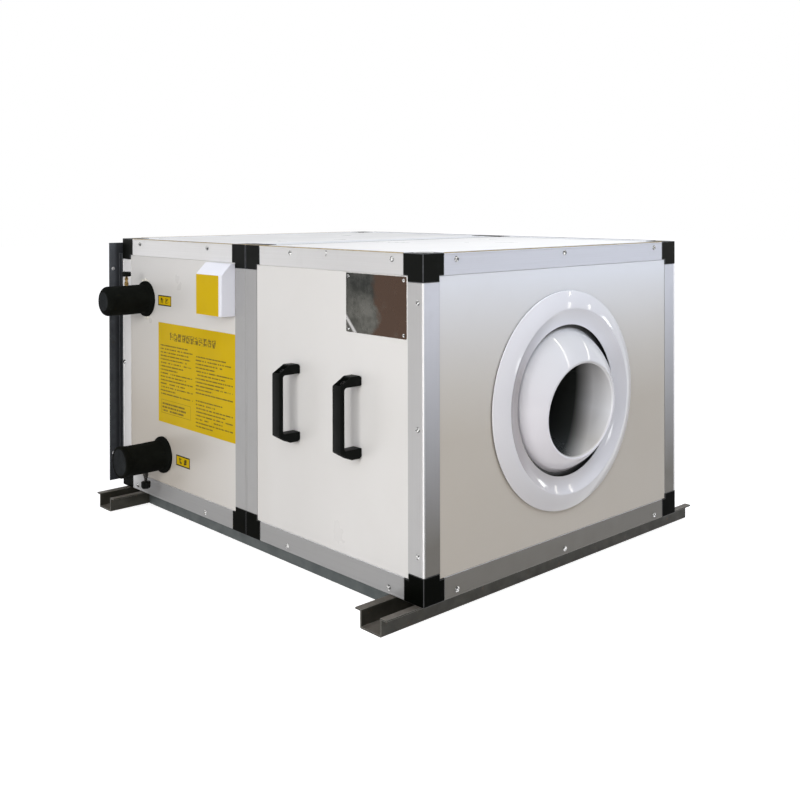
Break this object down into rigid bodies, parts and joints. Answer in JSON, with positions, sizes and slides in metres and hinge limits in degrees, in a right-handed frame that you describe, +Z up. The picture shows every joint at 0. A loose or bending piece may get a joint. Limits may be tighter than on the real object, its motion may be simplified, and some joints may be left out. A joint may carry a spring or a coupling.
{
  "type": "air handling unit",
  "caption": "Box-shaped air handling unit: framed coil and fan sections on steel rails, ball jet nozzle at one end, flanged inlet at the other.",
  "frame": {"origin": "on the floor, in the middle of the underside of the base rail at the nozzle end", "axes": "+X the way the air is blown out of the nozzle, -Y the service side with pipes and handles, +Z up"},
  "size_m": [1.0474, 0.8691, 0.5803],
  "materials": {
    "aluminium": "satin extruded aluminium",
    "black_nylon": "moulded black nylon, slight gloss",
    "panel_white": "off-white colour coated sheet",
    "base_steel": "dark mill steel with rust tinges",
    "member_steel": "grey-green mill steel",
    "flange_steel": "dark grey painted steel",
    "nozzle_white": "glossy white powder coat",
    "seal_rubber": "black rubber",
    "foam_sleeve": "black foam insulation",
    "brass": "turned brass",
    "valve_dark": "darkened metal",
    "knob_black": "moulded black plastic",
    "box_white": "smooth white housing",
    "handle_black": "moulded black plastic",
    "filter_media": "pleated filter fleece in a card border"
  },
  "bodies": {
    "casing": {"inlet_end_frame": "aluminium", "joint_frame": "aluminium", "nozzle_end_frame": "aluminium", "coil_bar_service_bottom": "aluminium", "coil_bar_service_top": "aluminium", "coil_bar_back_bottom": "aluminium", "coil_bar_back_top": "aluminium", "fan_bar_service_bottom": "aluminium", "fan_bar_service_top": "aluminium", "fan_bar_back_bottom": "aluminium", "fan_bar_back_top": "aluminium", "inlet_corner_service_bottom": "black_nylon", "inlet_corner_service_top": "black_nylon", "inlet_corner_back_bottom": "black_nylon", "inlet_corner_back_top": "black_nylon", "joint_corner_service_bottom": "black_nylon", "joint_corner_service_top": "black_nylon", "joint_corner_back_bottom": "black_nylon", "joint_corner_back_top": "black_nylon", "nozzle_corner_service_bottom": "black_nylon", "nozzle_corner_service_top": "black_nylon", "nozzle_corner_back_bottom": "black_nylon", "nozzle_corner_back_top": "black_nylon", "coil_side_panel": "panel_white", "coil_back_panel": "panel_white", "coil_top_panel": "panel_white", "coil_bottom_panel": "panel_white", "access_panel": "panel_white", "fan_back_panel": "panel_white", "fan_top_panel": "panel_white", "fan_bottom_panel": "panel_white", "nozzle_panel": "panel_white", "nozzle_end_rail": "base_steel", "inlet_end_rail": "base_steel", "service_side_member": "member_steel", "back_side_member": "member_steel", "nozzle_ring": "nozzle_white", "inlet_flange": "flange_steel", "inlet_filter": "filter_media", "upper_pipe": "foam_sleeve", "lower_pipe": "foam_sleeve", "vent_valve": "brass", "drain_valve": "valve_dark", "terminal_box": "box_white", "inlet_side_handle": "handle_black", "nozzle_side_handle": "handle_black"},
    "nozzle_swivel_seal": {"nozzle_seal": "seal_rubber"},
    "nozzle_ball_body": {"nozzle_ball": "nozzle_white"},
    "vent_knob_body": {"vent_knob": "knob_black"},
    "drain_knob_body": {"drain_knob": "knob_black"}
  },
  "joints": [
    {"name": "nozzle_swivel", "type": "hinge", "parent": "casing", "child": "nozzle_swivel_seal", "pos_m": [-0.032, 0, 0.3068], "axis": [1, 0, 0], "continuous": true},
    {"name": "nozzle_tilt", "type": "hinge", "parent": "nozzle_swivel_seal", "child": "nozzle_ball_body", "pos_m": [-0.032, 0, 0.3068], "axis": [0, 0.866, -0.5], "range_deg": [-31.5, 18.5]},
    {"name": "vent_knob_turn", "type": "hinge", "parent": "casing", "child": "vent_knob_body", "pos_m": [-0.829, -0.3951, 0.5026], "axis": [0, 0, 1], "range_deg": [0, 360]},
    {"name": "drain_knob_turn", "type": "hinge", "parent": "casing", "child": "drain_knob_body", "pos_m": [-0.759, -0.3891, 0.078], "axis": [0, 0, -1], "range_deg": [0, 360]}
  ]
}
